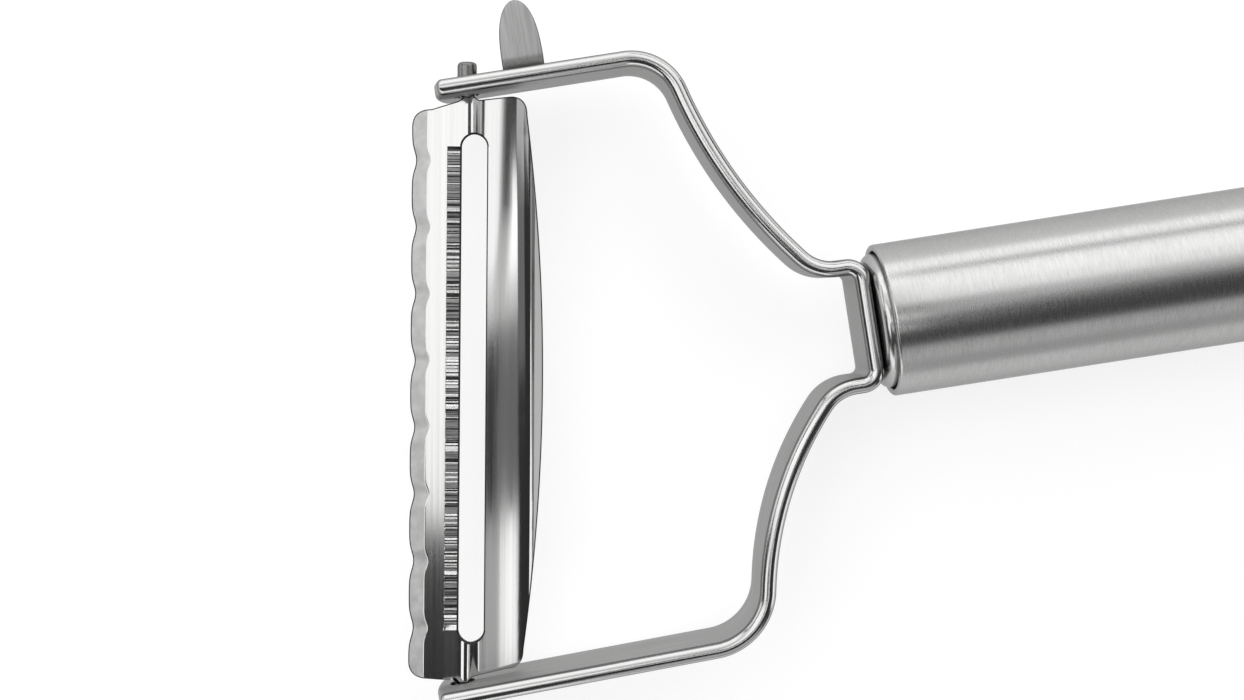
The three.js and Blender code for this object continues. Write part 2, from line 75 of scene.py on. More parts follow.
def shell(grid, wrap=(False, True), finish=0):
    """Skin over a grid of points: four neighbours make a face, and wrap says which of the two ways closes.
    The map of the skin is the distance walked along the first column and along the middle row."""
    rows, cols = grid.shape[:2]
    r, c = np.meshgrid(np.arange(rows - (not wrap[0])), np.arange(cols - (not wrap[1])), indexing="ij")
    near, far = r * cols, (r + 1) % rows * cols
    right = (c + 1) % cols
    faces = np.stack([near + c, near + right, far + right, far + c], -1).reshape(-1, 4)

    def walked(points):
        step = np.linalg.norm(np.diff(points, axis=0, append=points[:1]), axis=-1)
        return np.concatenate([[0], np.cumsum(step)])

    along, around = walked(grid[:, 0]), walked(grid[rows // 2])
    corners = [along[r[..., None] + [0, 0, 1, 1]], around[c[..., None] + [0, 1, 1, 0]]]
    spread = np.stack(corners, -1).reshape(-1, 2)
    return grid.reshape(-1, 3), faces, spread, np.broadcast_to(finish, r.shape).reshape(-1)


def build(name, shells, finishes, crease=32):
    """One object from closed skins: points that coincide, as at poles, become one, and faces turn outwards.
    Where two faces meet at a larger angle than the crease, in degrees, their edge stays sharp."""
    work = bmesh.new()
    for points, faces, spread, finish in shells:
        skin = bpy.data.meshes.new(name)
        skin.from_pydata(points.tolist(), [], faces.tolist())
        skin.polygons.foreach_set("material_index", finish.astype(np.int32))
        skin.uv_layers.new(name="grain").data.foreach_set("uv", spread.astype(np.float32).ravel())
        work.from_mesh(skin)
        bpy.data.meshes.remove(skin)
    bmesh.ops.remove_doubles(work, verts=work.verts, dist=1e-6)
    bmesh.ops.recalc_face_normals(work, faces=work.faces)
    mesh = bpy.data.meshes.new(name)
    work.to_mesh(mesh)
    work.free()
    for finish in finishes:
        mesh.materials.append(finish)
    mesh.shade_smooth()
    mesh.set_sharp_from_angle(angle=np.radians(crease))
    made = bpy.data.objects.new(name, mesh)
    bpy.context.scene.collection.objects.link(made)
    return made


def seat(made, body, node):
    """Puts a finished piece on its body, in place of its CAD node, which it hides."""
    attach(made, body)
    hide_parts(node)


def add_node(tree, kind, **inputs):
    """A new shader node with some of its inputs set. In an input's name, an underscore stands for a space."""
    made = tree.nodes.new("ShaderNode" + kind)
    for name, value in inputs.items():
        made.inputs[name.replace("_", " ")].default_value = value
    return made


def steel(name, dark, light, rough, grain, turned=0.0, depth=0.01, drawn="Object"):
    """Stainless steel. Noise drawn out along the brushing sets the tint between two greys, the roughness
    between two values, and the depth of the scratches in mm. The grain is how many fit in a metre, along
    each axis. Tint and roughness follow the fine noise plus a share of wide clouds, from low to high."""
    low, high, cloud_share = 0.4, 0.9, 0.3
    made = bpy.data.materials.new(name)
    made.use_nodes = True
    tree = made.node_tree
    link = tree.links.new
    metal = tree.nodes["Principled BSDF"]
    metal.inputs["Metallic"].default_value = 1.0
    metal.inputs["Specular Tint"].default_value = (0.6, 0.6, 0.6, 1)
    place = add_node(tree, "TexCoord")
    mapping = add_node(tree, "Mapping", Rotation=(0, 0, turned), Scale=1 / np.array(grain))
    mapping.vector_type = "TEXTURE"
    link(place.outputs[drawn], mapping.inputs["Vector"])
    scratch = add_node(tree, "TexNoise", Scale=1.0, Detail=3.0, Roughness=0.6)
    cloud = add_node(tree, "TexNoise", Scale=0.012, Detail=2.0)
    for noise in (scratch, cloud):
        link(mapping.outputs["Vector"], noise.inputs["Vector"])
    both = add_node(tree, "Math")
    both.operation = "MULTIPLY_ADD"
    both.inputs[1].default_value = cloud_share
    link(cloud.outputs["Fac"], both.inputs[0])
    link(scratch.outputs["Fac"], both.inputs[2])
    tint = add_node(tree, "ValToRGB")
    darkest, lightest = tint.color_ramp.elements
    darkest.position, lightest.position = low, high
    darkest.color = (dark, dark, dark * 0.99, 1)
    lightest.color = (light, light, light * 0.995, 1)
    link(both.outputs["Value"], tint.inputs["Fac"])
    link(tint.outputs["Color"], metal.inputs["Base Color"])
    level = add_node(tree, "MapRange", From_Min=low, From_Max=high, To_Min=rough[1], To_Max=rough[0])
    link(both.outputs["Value"], level.inputs["Value"])
    link(level.outputs["Result"], metal.inputs["Roughness"])
    bump = add_node(tree, "Bump", Strength=1.0, Distance=depth * MM)
    link(scratch.outputs["Fac"], bump.inputs["Height"])
    link(bump.outputs["Normal"], metal.inputs["Normal"])
    return made


def tube_wall_profile(steps=8, lengths=24):
    """Closed outline of the wall: outer skin, rear rim, bore and front rim.
    Each rim is two quarter rounds."""
    front, rear = tube_front + rim_round, tube_rear - rim_round
    outer, inner = tube_radius - rim_round, tube_bore + rim_round
    return np.concatenate([
        arc((front, outer), rim_round, 180, 90, steps),
        line((front, tube_radius), (rear, tube_radius), lengths)[1:-1],
        arc((rear, outer), rim_round, 90, 0, steps),
        arc((rear, inner), rim_round, 0, -90, steps),
        line((rear, tube_bore), (front, tube_bore), lengths)[1:-1],
        arc((front, inner), rim_round, -90, -180, steps),
    ])


tube_steel = steel("round_brushed_steel", 0.41, 0.47, (0.23, 0.31), (5200, 620, 620), depth=0.003)
tube = build("grip_tube", [shell(turn(tube_wall_profile()), wrap=(True, True))], [tube_steel])
seat(tube, "frame", "handle_tube")

# Front plug: a turned steel disc pushed into the tube, with a polished nose that stands out of the rim.
# A narrow groove round the nose shows as a dark line against the tube.
plug_stand = 1.1 * MM
plug_nose = tube_bore - 0.25 * MM
plug_shank = tube_bore - 0.1 * MM
plug_round = 0.9 * MM
plug_step, plug_end = tube_front + 1 * MM, tube_front + 6 * MM
plug_profile = np.concatenate([
    [(tube_front - plug_stand, 0)],
    arc((tube_front - plug_stand + plug_round, plug_nose - plug_round), plug_round, 180, 90, 14),
    [(plug_step, plug_nose), (plug_step, plug_shank), (plug_end, plug_shank), (plug_end, 0)],
])
plug_steel = steel("polished_plug_steel", 0.44, 0.48, (0.20, 0.25), (300, 900, 900), depth=0.0001)
plug = build("plug_disc", [shell(turn(plug_profile))], [plug_steel])
seat(plug, "frame", "front_plug")

# Yoke: one flat stainless wire with round edges, bent into two arms, two sweeps, two necks and a bridge.
# The bridge is welded to the plug, both tips are trimmed round, and a hole near each tip takes a blade pin.
wire_half = 0.945 * MM
wire_reach = 5.3 * MM
tip_edge = 0.55 * MM
tip_bulge = 0.85 * MM
tip_blend = 3 * MM
neck_half = 6.85 * MM
neck_straight = 0.9 * MM
neck_radius = 5.2 * MM
bridge_corner = 0.8 * MM + wire_half
bridge_x = -(plug_stand + 0.1 * MM + wire_half)
bend_x = -25.5 * MM
arm_half = 34.5 * MM
top_arm = {"side": 1, "tip": -47.79 * MM, "splay": 0.0, "bend": 6 * MM, "sweep": 58 * MM}
bottom_arm = {"side": -1, "tip": -58.19 * MM, "splay": 1.8, "bend": 7.2 * MM, "sweep": 41 * MM}
pivot_x = -49.6 * MM
skew = np.radians(9.25)
pin_radius = 1.15 * MM


def arm_end(arm):
    """An arm's straight end: its bend's centre, the ways outward and on, and both ends of its centreline."""
    centre = np.array([bend_x, arm_half - arm["bend"]])
    splay = np.radians(arm["splay"])
    outward = np.array([np.sin(splay), np.cos(splay)])
    way = np.array([-outward[1], outward[0]])
    start = centre + arm["bend"] * outward
    tip = start + way * (start[0] - arm["tip"]) / outward[1]
    return centre, outward, way, start, tip


def arm_line(arm, pitch=0.4 * MM, most_turn=3):
    """Centreline of half the yoke, from a tip to the bridge: a straight and four arcs, each tangent to the
    next. The sweep's centre is where circles about the bend's and the neck's centres meet."""
    centre, _, _, start, tip = arm_end(arm)
    neck = np.array([bridge_x - bridge_corner - neck_straight, neck_half + neck_radius])
    reach_a, reach_b = arm["sweep"] + arm["bend"], arm["sweep"] - neck_radius
    span = np.linalg.norm(neck - centre)
    way = (neck - centre) / span
    along = (reach_a**2 - reach_b**2 + span**2) / (2 * span)
    sweep = centre + along * way + np.sqrt(reach_a**2 - along**2) * np.array([-way[1], way[0]])
    to_sweep = np.degrees(np.arctan2(*(sweep - centre)[::-1]))
    to_neck = np.degrees(np.arctan2(*(neck - sweep)[::-1])) % 360
    bends = [
        (centre, arm["bend"], 90 - arm["splay"], to_sweep),
        (sweep, arm["sweep"], to_sweep + 180, to_neck),
        (neck, neck_radius, to_neck, 270),
        (np.array([bridge_x - bridge_corner, neck_half - bridge_corner]), bridge_corner, 90, 0),
    ]
    parts = [line(tip, start, int(np.linalg.norm(start - tip) / pitch))]
    for middle, radius, a, b in bends:
        steps = int(max(abs(np.radians(b - a)) * radius / pitch, abs(b - a) / most_turn)) + 1
        parts.append(arc(middle, radius, a, b, steps))
    points = np.concatenate(parts)
    apart = np.linalg.norm(np.diff(points, axis=0), axis=1) > 1e-7
    return points[np.concatenate([[True], apart])]


# The turn's finish is a dark copy of the steel: painted shade.
on_round, on_flat, on_turn_painted_shade = range(3)


def wire_skin(tip_steps=8, round_steps=28, side_steps=12, bridge_steps=30):
    """The wire's section, two straight sides and two half rounds, carried along the centreline.
    Near a tip the stations follow the trimmed end, an arc across the wire's height, and their thickness is
    drawn in by a quarter round: R (1 - sin a) at the distance R (1 - cos a) from the end. The rounds are
    bright on top, the sides are flat, and the turn between them is painted darker, as shade."""
    upper, lower = (arm_line(arm) for arm in (top_arm, bottom_arm))
    lower = lower * [1, -1]
    path = np.concatenate([upper, line(upper[-1], lower[-1], bridge_steps)[1:-1], lower[::-1]])
    walked = np.concatenate([[0], np.cumsum(np.linalg.norm(np.diff(path, axis=0), axis=1))])
    turned = np.linspace(0, np.pi / 2, tip_steps + 1)
    end_shares = np.array([0, 0.4, 0.8])
    tip_places = np.concatenate([0 * end_shares, tip_edge * (1 - np.cos(turned))])
    tip_shares = 1 - tip_edge / wire_half * (1 - np.sin(turned))
    tip_shares = np.concatenate([tip_shares[0] * end_shares, tip_shares])
    past_tip = tip_edge * 1.1
    inside = (walked > past_tip) & (walked < walked[-1] - past_tip)
    place = np.concatenate([tip_places, walked[inside], walked[-1] - tip_places[::-1]])
    share = np.concatenate([tip_shares, np.ones(inside.sum()), tip_shares[::-1]])
    x, y = (np.interp(place, walked, path[:, k]) for k in (0, 1))
    way = np.gradient(path, axis=0)
    way /= np.linalg.norm(way, axis=1)[:, None]
    way = np.stack([np.interp(place, walked, way[:, k]) for k in (0, 1)], -1)
    rise = wire_reach - wire_half
    section = np.concatenate([
        arc((0, rise), wire_half, 0, 180, round_steps),
        line((-wire_half, rise), (-wire_half, -rise), side_steps)[1:-1],
        arc((0, -rise), wire_half, 180, 360, round_steps),
        line((wire_half, -rise), (wire_half, rise), side_steps)[1:-1],
    ])
    across, height = section[:, 0] * share[:, None], section[:, 1]
    end_radius = (wire_reach**2 + tip_bulge**2) / (2 * tip_bulge)
    drawn_back = end_radius - np.sqrt(end_radius**2 - height**2)
    first = np.clip(1 - (place - tip_edge) / tip_blend, 0, 1)
    last = np.clip(1 - (walked[-1] - place - tip_edge) / tip_blend, 0, 1)
    along = (first - last)[:, None] * drawn_back
    grid = np.stack([
        tube_front + x[:, None] + way[:, :1] * along - way[:, 1:] * across,
        y[:, None] + way[:, 1:] * along + way[:, :1] * across,
        np.broadcast_to(axis_height + height, along.shape),
    ], -1)
    turned = np.clip((np.abs(section[:, 1]) - rise) / wire_half, 0, 1)
    turned = np.minimum(turned, np.roll(turned, -1))
    # The turn between round and side is painted darker, as shade.
    finish = np.where(turned > 0.5, on_round, np.where(turned > 0.02, on_turn_painted_shade, on_flat))
    return grid, np.broadcast_to(finish, (len(place) - 1, len(section)))


def about_pivot(grid):
    """From the blade's own frame, across, along and over the pivot, to the object's frame."""
    u, s, w = np.moveaxis(grid, -1, 0)
    x = tube_front + pivot_x + u * np.cos(skew) + s * np.sin(skew)
    return np.stack([x, s * np.cos(skew) - u * np.sin(skew), axis_height + w], -1)


def pivot_round(profile, sides=48):
    """Surface of revolution about the pivot: each (distance along it, radius) goes round by every angle."""
    angle = np.linspace(0, 2 * np.pi, sides, endpoint=False)
    s, r = np.asarray(profile).T[..., None]
    return about_pivot(np.stack(np.broadcast_arrays(r * np.sin(angle), s, r * np.cos(angle)), -1))


def cut_out(made, grid, wrap=(False, True), crease=32):
    """Takes the room inside a closed skin out of a piece, with an exact boolean that is applied at once."""
    cutter = build("cutter", [shell(grid, wrap)], [])
    cut = made.modifiers.new("cut", "BOOLEAN")
    cut.operation = "DIFFERENCE"
    cut.solver = "EXACT"
    cut.object = cutter
    fresh = bpy.data.meshes.new_from_object(made.evaluated_get(bpy.context.evaluated_depsgraph_get()))
    made.modifiers.remove(cut)
    made.data = fresh
    fresh.set_sharp_from_angle(angle=np.radians(crease))
    bpy.data.objects.remove(cutter)


edge_steel = steel("polished_wire_steel", 0.44, 0.46, (0.15, 0.19), (40, 1200, 1), depth=0.0001, drawn="UV")
flat_steel = steel("rolled_wire_steel", 0.32, 0.49, (0.48, 0.60), (60, 5200, 1), depth=0.003, drawn="UV")
# A dark copy of the steel that paints shade, on the wire's turns and on the blade's pins.
painted_shade_steel = steel("wire_painted_shade", 0.13, 0.2, (0.2, 0.3), (40, 1200, 1), depth=0.0005, drawn="UV")
wire_grid, wire_finish = wire_skin()
yoke = build("wire_yoke", [shell(wire_grid, finish=wire_finish)], [edge_steel, flat_steel, painted_shade_steel])
pin_hole = pin_radius + 0.3 * MM
for side in (1, -1):
    near, far = np.array([25, 45]) * MM * side
    cut_out(yoke, pivot_round([(near, 0), (near, pin_hole), (far, pin_hole), (far, 0)]))
seat(yoke, "frame", "yoke")

# Eye remover: a tongue of steel sheet, folded over at its base and welded on the outer face of the upper arm.
# It is brushed along its length, its edges are broken, and its end is cut to a blunt round.
tongue_x = tube_front - 37 * MM
tongue_y = arm_half + wire_half + 0.1 * MM
tongue_length = 8 * MM
tongue_half = 2.45 * MM
tongue_sheet = 0.8 * MM
tongue_front = 2.5 * MM
tongue_fold = 1.5 * MM
tongue_foot = 5.5 * MM
tongue_edge = 0.2 * MM


def tongue_skin(foot_steps=8, fold_steps=14, out_steps=40, edge_steps=5):
    """A rounded bar section carried up the foot, round the fold and out along the tongue. The half width is
    a sqrt(1 - (y / L)^3) at the distance y from the arm, so that the end is a blunt round."""
    half = tongue_sheet / 2
    fold = (tongue_fold, tongue_front - tongue_fold)
    angle = np.linspace(0, np.pi / 2, out_steps)
    reach = tongue_length * (1 - np.cos(angle) ** 2) ** (1 / 3)
    reach = reach[reach > tongue_fold]
    path = np.concatenate([
        line((half, tongue_front - tongue_foot), (half, fold[1]), foot_steps)[:-1],
        arc(fold, tongue_fold - half, 180, 90, fold_steps),
        np.stack([reach, np.full_like(reach, tongue_front - half)], -1),
    ])
    way = np.gradient(path, axis=0)
    way /= np.linalg.norm(way, axis=1)[:, None]
    wide = tongue_half * np.sqrt(np.clip(1 - (path[:, 0] / tongue_length) ** 3, 1e-4, 1))
    edge = np.minimum(tongue_edge, wide * 0.9)[:, None]
    quarter = arc((0, 0), 1, 0, 90, edge_steps)
    signs = [(1, 1), (-1, 1), (-1, -1), (1, -1)]
    round_off = np.concatenate([quarter[::a * b] * (a, b) for a, b in signs])
    corner = np.repeat(signs, len(quarter), axis=0)
    across = corner[:, 0] * (wide[:, None] - edge) + edge * round_off[:, 0]
    through = corner[:, 1] * (half - edge) + edge * round_off[:, 1]
    y = tongue_y + path[:, :1] - way[:, 1:] * through
    z = axis_height + path[:, 1:] + way[:, :1] * through
    grid = np.stack([tongue_x + across, y, z], -1)
    ends = [np.broadcast_to(grid[k].mean(0), grid[k].shape)[None] for k in (0, -1)]
    sideways = np.abs(round_off[:, 0])
    # The tongue's sides take the near-black steel: painted shade.
    painted_side_shade = np.minimum(sideways, np.roll(sideways, -1)) > 0.55
    return np.concatenate([ends[0], grid, ends[1]]), np.broadcast_to(painted_side_shade, (len(grid) + 1, len(painted_side_shade)))


tongue_steel = steel("long_brushed_steel", 0.30, 0.40, (0.45, 0.58), (4200, 130, 4200), depth=0.004)
# A near-black steel that paints shade: dark edges and outlines on the tongue and the blade.
painted_edge_shade_steel = steel("edge_painted_shade", 0.02, 0.05, (0.4, 0.55), (2000, 2000, 2000), depth=0.004)
tongue_grid, tongue_finish = tongue_skin()
tongue = build("eye_tongue", [shell(tongue_grid, finish=tongue_finish)], [tongue_steel, painted_edge_shade_steel])
seat(tongue, "frame", "eye_remover")

# Blade: one stamped steel sheet that hangs in the yoke on two pins rolled from the sheet itself.
# Its front edge is a wavy ground guard, its slot has a milled cutting edge, and its rear flap bends down.
sheet = 0.8 * MM
face = 0.45 * MM
guard_edge = -6.44 * MM
guard_line = -4.55 * MM
guard_drop = 0.5 * MM
notch_count, notch_depth, notch_spread = 8, 0.5 * MM, 1.5 * MM
slot_front, slot_back = -0.55 * MM, 2.45 * MM
slot_round = (slot_back - slot_front) / 2
facet_line = 7.75 * MM
cut_line = -2.25 * MM
flap_reach, flap_crown, flap_radius = 9.2 * MM, 2.2 * MM, 3.8 * MM
sink_line, sink_radius, sheet_lean = 3.4 * MM, 35 * MM, 0.042
front_corner, rear_corner, rear_corner_from = 2.3 * MM, 2.2 * MM, 5.2 * MM
neck_front, neck_rear, neck_rise = -0.16 * MM, 0.57 * MM, 1.0 * MM
shoulder_front, shoulder_rear = -1.12 * MM, 1.58 * MM
fillet_front, fillet_rear = 0.6, 0.4
rib_place, rib_half, rib_rise = 0.8 * MM, 0.6 * MM, 0.42 * MM
pin_stand = 2.1 * MM
top_gaps = {
    "front": 0.45, "front_corner": 0.9, "rear": 0.7, "rear_corner": 0.85, "guard": 3.65, "slot": 4.5,
}
bottom_gaps = {
    "front": 0.4, "front_corner": 1.2, "rear": 0.45, "rear_corner": 0.6, "guard": 2.4, "slot": 4.75,
}


def blade_end(arm, gaps):
    """Where one end of the blade lies, in the blade's frame: each place is the arm's inner face less its gap
    in mm, and the pin's tip stands out of the arm's outer face."""
    _, outward, way, start, _ = arm_end(arm)
    side = arm["side"]

    def arm_face(across, offset):
        ends = np.array([start, start + way]) + offset * outward
        x, y = (ends * [1, side] - [pivot_x, 0]).T
        u, s = x * np.cos(skew) - y * np.sin(skew), x * np.sin(skew) + y * np.cos(skew)
        return s[0] + (s[1] - s[0]) * (across - u[0]) / (u[1] - u[0])

    def place(across, gap):
        return np.array([across, arm_face(across, -wire_half) - side * gaps[gap] * MM])

    return {
        "side": side,
        "front": place(shoulder_front, "front"),
        "front_corner": place(guard_edge + front_corner, "front_corner"),
        "rear": place(shoulder_rear, "rear"),
        "rear_corner": place(rear_corner_from, "rear_corner"),
        "guard": place(0, "guard")[1],
        "slot": place(0, "slot")[1],
        "tip": arm_face(0, wire_half) + side * pin_stand,
    }


top, bottom = blade_end(top_arm, top_gaps), blade_end(bottom_arm, bottom_gaps)


def bent(a, b, c, steps=24):
    """Points of the curve from a to c that leaves and arrives along the lines to b:
    (1-t)^2 a + 2t(1-t) b + t^2 c, with t from 0 to 1."""
    t = np.linspace(0, 1, steps + 1)[:, None]
    return (1 - t) ** 2 * np.array(a) + 2 * t * (1 - t) * np.array(b) + t**2 * np.array(c)


def spaced(points, count):
    """The same line with its points spaced evenly by distance walked."""
    walked = np.concatenate([[0], np.cumsum(np.linalg.norm(np.diff(points, axis=0), axis=1))])
    even = np.linspace(0, walked[-1], count)
    return np.stack([np.interp(even, walked, points[:, k]) for k in (0, 1)], -1)


def notch(s, spread=notch_spread):
    """How far the wavy edge is drawn back at a place along the pivot: a bell curve in each of equal cells."""
    pitch = (top["guard"] - bottom["guard"]) / notch_count
    cell = (s - bottom["guard"]) / pitch
    away = (cell - np.floor(cell) - 0.5) * pitch
    inside = (s < top["guard"]) & (s > bottom["guard"])
    return inside * notch_depth * np.exp(-((away / spread) ** 2))


line_depth, line_spread = 0.9, 0.65 * notch_spread


def bevel_line(s):
    """Where the guard's bevel meets the face: the edge's wave, but shallower and with narrower bells."""
    return guard_line + line_depth * notch(s, line_spread)


def rear_edge(end):
    """The rear edge's distance from the pivot at the corner of one end."""
    return flap_reach - flap_crown * (1 - rear_corner / abs(end["rear_corner"][1]))


def end_outline(end):
    """Outline of one end, from the middle of its neck to the guard's line in front and to the flap behind,
    and the rest of its front corner. The neck's fillets turn at a share of the way to each shoulder."""
    lift = end["side"] * neck_rise
    front = np.array([neck_front, end["front"][1] + lift])
    rear = np.array([neck_rear, end["rear"][1] + lift])
    middle = (front + rear) / 2
    turn_front = neck_front + fillet_front * (shoulder_front - neck_front)
    turn_rear = neck_rear + fillet_rear * (shoulder_rear - neck_rear)
    corner = bent(end["front_corner"], (guard_edge, end["front_corner"][1]), (guard_edge, end["guard"]), 60)
    before = corner[:, 0] > guard_line
    share = (corner[before][-1, 0] - guard_line) / (corner[before][-1, 0] - corner[~before][0, 0])
    crossing = corner[before][-1] + share * (corner[~before][0] - corner[before][-1])
    forward = np.concatenate([
        line(middle, front, 4)[:-1],
        bent(front, (turn_front, end["front"][1]), end["front"])[:-1],
        line(end["front"], end["front_corner"], 8)[:-1], corner[before], [crossing],
    ])
    high = end["rear_corner"][1] - end["side"] * rear_corner
    back = np.concatenate([
        line(middle, rear, 4)[:-1],
        bent(rear, (turn_rear, end["rear"][1]), end["rear"])[:-1],
        line(end["rear"], end["rear_corner"], 12)[:-1],
        bent(end["rear_corner"], (rear_edge(end), end["rear_corner"][1]), (rear_edge(end), high)),
    ])
    return forward, back, np.concatenate([[crossing], corner[~before]])


front_count, rear_count, end_count = 1140, 220, 44
forward_top, back_top, corner_top = end_outline(top)
forward_low, back_low, corner_low = end_outline(bottom)
guard_run = np.linspace(top["guard"], bottom["guard"], 900)[1:-1]
guard_points = np.concatenate([
    corner_top, np.stack([guard_edge + notch(guard_run), guard_run], -1), corner_low[::-1],
])
flap_low, flap_top = back_low[-1], back_top[-1]
flap_crest = (2 * flap_reach - rear_edge(top), (flap_low + flap_top)[1] / 2)
flap_points = bent(flap_low, flap_crest, flap_top, 200)
slot_middle = (slot_front + slot_back) / 2
slot_top, slot_low = top["slot"] - slot_round, bottom["slot"] + slot_round


def blade_rays(end_share=0.25):
    """Four lines round the blade, point for point: the slot's edge, an inner line, an outer line and the
    outline. In front the inner line is the milled bevel's back and the outer one the guard's bevel line.
    Behind, they are the slot's broken edge and the facet's inner line. At the ends both fade to a share of
    the way across. Returns the lines and which of their points lie in front and behind."""
    def fade(inner, outer, start_step, reverse):
        t = np.linspace(0, 1, len(inner))[:, None]
        t = 1 - t if reverse else t
        near = inner + t * np.array(start_step) + end_share * (1 - t) * (outer - inner)
        return np.stack([inner, near, outer + end_share * (1 - t) * (inner - outer), outer], 1)

    def quarter(s, a, b):
        return arc((slot_middle, s), slot_round, a, b, end_count - 1)

    to_cut, to_chamfer = (cut_line - slot_front, 0), (0.18 * MM, 0)
    slot_run = np.linspace(slot_top, slot_low, front_count)
    outer = spaced(guard_points, front_count)
    front = np.stack([
        np.stack([np.full(front_count, slot_front), slot_run], -1),
        np.stack([np.full(front_count, cut_line), slot_run], -1),
        np.stack([np.maximum(bevel_line(outer[:, 1]), outer[:, 0]), outer[:, 1]], -1),
        outer,
    ], 1)
    edge = spaced(flap_points, rear_count)
    back_run = np.linspace(slot_low, slot_top, rear_count)
    rear = np.stack([
        np.stack([np.full(rear_count, slot_back), back_run], -1),
        np.stack([np.full(rear_count, slot_back + to_chamfer[0]), back_run], -1),
        np.stack([np.minimum(edge[:, 0], facet_line), edge[:, 1]], -1),
        edge,
    ], 1)
    parts = [
        fade(quarter(slot_top, 90, 180), spaced(forward_top, end_count), to_cut, False)[:-1],
        front,
        fade(quarter(slot_low, 180, 270), spaced(forward_low, end_count)[::-1], to_cut, True)[1:],
        fade(quarter(slot_low, 270, 360), spaced(back_low, end_count), to_chamfer, False)[1:-1],
        rear,
        fade(quarter(slot_top, 0, 90), spaced(back_top, end_count)[::-1], to_chamfer, True)[1:-1],
    ]
    starts = np.cumsum([0] + [len(p) for p in parts])
    return np.concatenate(parts), slice(starts[1], starts[2]), slice(starts[4], starts[5])


rays, in_front, behind = blade_rays()
cut_top, cut_low = 28.1 * MM, -28.8 * MM
cut_end = cut_low + 0.6 * MM
mill_marks = np.random.default_rng(11)
mark_lengths, mark_count = (0.1, 0.42), 500
bright_share, painted_shade_share = 0.4, 0.7
# The blade's finishes: the face, the ground bevel, the milled steps with a painted highlight, painted shade
# for dark cuts, outlines and edges, the pins painted darker as shade, and the dull milled steps painted
# darker as shade.
on_face, on_ground, on_painted_highlight, on_painted_shade, on_pin_painted_shade, on_painted_dull_shade = range(6)


def milled(run):
    """The mill's marks along the cutting edge, at each place of an even run: steps of uneven length, some
    sloping up along the edge and given a painted highlight, the others painted darker as shade, and most
    begin with a short stretch of painted shade. Lengths and depths are drawn in mm. Returns the depths and
    the finishes."""
    ends = run[0] - np.cumsum(mill_marks.uniform(*mark_lengths, mark_count)) * MM
    step = np.searchsorted(-ends, -run)
    start = np.concatenate([[run[0]], ends])[step]
    kind, cut, tilt, low = mill_marks.random((4, mark_count + 1))[:, step]
    bright = kind < bright_share
    slope = np.where(bright, 0.04 + 0.1 * tilt, 0.04 * tilt)
    depth = 0.02 * low * MM + slope * (run - ends[step])
    painted_shade_length = (0.07 + 0.15 * (painted_shade_share - cut)) * MM
    # Painted shade over the start of most steps.
    dark = (cut < painted_shade_share) & (start - run < painted_shade_length)
    return depth, np.where(dark, on_painted_shade, np.where(bright, on_painted_highlight, on_painted_dull_shade))


bend_line, bend_shift, bend_run = 5.6 * MM, 1.1 * MM, 0.75
lean_from, lean_run = 0.14, 0.41


def sheet_slope(u, s):
    """How much the sheet leans behind the slot, and how far a place lies into its wide bend and the flap's
    tight one. From the upper end down the lean grows, and the tight bend starts farther back. That bend
    stops just short of a quarter circle."""
    t = np.clip((top["slot"] - s) / (top["slot"] - bottom["slot"]), 0, 1)
    bend = bend_line + bend_shift * np.minimum(t / bend_run, 1)
    lean = sheet_lean * np.clip((t - lean_from) / lean_run, 0, 1)
    return lean, np.clip(np.minimum(u, bend) - sink_line, 0, None), np.clip(u - bend, 0, 0.98 * flap_radius)


def sheet_face(u, s):
    """Height of the sheet's upper face: flat, then leaning behind the slot and sinking, as a wide circle
    does there and as a tight one does in the flap, with a bell-shaped rib from each slot end to its pin."""
    lean, wide, tight = sheet_slope(u, s)
    sunk = lean * np.clip(u - slot_back, 0, None) + wide**2 / (2 * sink_radius) + tight * wide / sink_radius
    sunk += flap_radius - np.sqrt(flap_radius**2 - tight**2)
    return face - sunk + rib_rise * np.exp(-(((u - rib_place) / rib_half) ** 2))


break_width, roll_width = 0.14 * MM, 0.35 * MM
roll_from, roll_run = -3 * MM, 2 * MM


def broken_rim(slot, outer, rim):
    """The rim's broken edge. Returns the outer line, kept clear of the break, then the line where the break
    starts, and how far the rim is rolled over, which it is only in front of the lower neck."""
    lower_front = (rim[:, 1] < bottom["guard"]) & (rim[:, 0] < neck_front)
    rolled = lower_front * np.clip((rim[:, 0] - roll_from) / roll_run, 0, 1)
    rolled *= np.clip((neck_front - rim[:, 0]) / (neck_front - shoulder_front), 0, 1)
    along = np.roll(rim, -1, 0) - np.roll(rim, 1, 0)
    inward = np.stack([-along[:, 1], along[:, 0]], -1) / np.linalg.norm(along, axis=1)[:, None]
    inward *= np.sign((inward * (slot - rim)).sum(1))[:, None]
    width = break_width + roll_width * rolled[:, None]
    clear = 1.2 * width
    kept_in = rim + clear * inward
    room = np.linalg.norm(rim - outer, axis=1)[:, None]
    free = np.clip((room - clear) / (0.6 * MM), 0, 1)
    kept = (1 - free) * kept_in + free * outer
    kept[in_front] = kept_in[in_front]
    kept[in_front, 0] = np.maximum(bevel_line(kept_in[in_front, 1]), kept_in[in_front, 0])
    kept[behind] = kept_in[behind]
    kept[behind, 0] = np.minimum(facet_line, kept_in[behind, 0])
    return kept, rim + width * inward, rolled


lip_width, lip_least = 0.2 * MM, 0.17 * MM
cut_shares = np.linspace(0, 0.97, 7)[:, None]
face_shares = np.linspace(0, 1, 22)[:, None]
edge_shares = np.array([0.05, 0.2, 0.35, 0.5, 0.67, 0.83, 1])[:, None]
edge_half, back_half = slice(1, 4), slice(4, 7)
inner_at = 1 + len(cut_shares)
outer_at = inner_at + len(face_shares) - 1
rim_at = outer_at + len(edge_shares) + 1
under_at = rim_at - np.array([0, 1, 3, 5, 8, 11, 15, 19, 24, 29, 30, 36, 37])


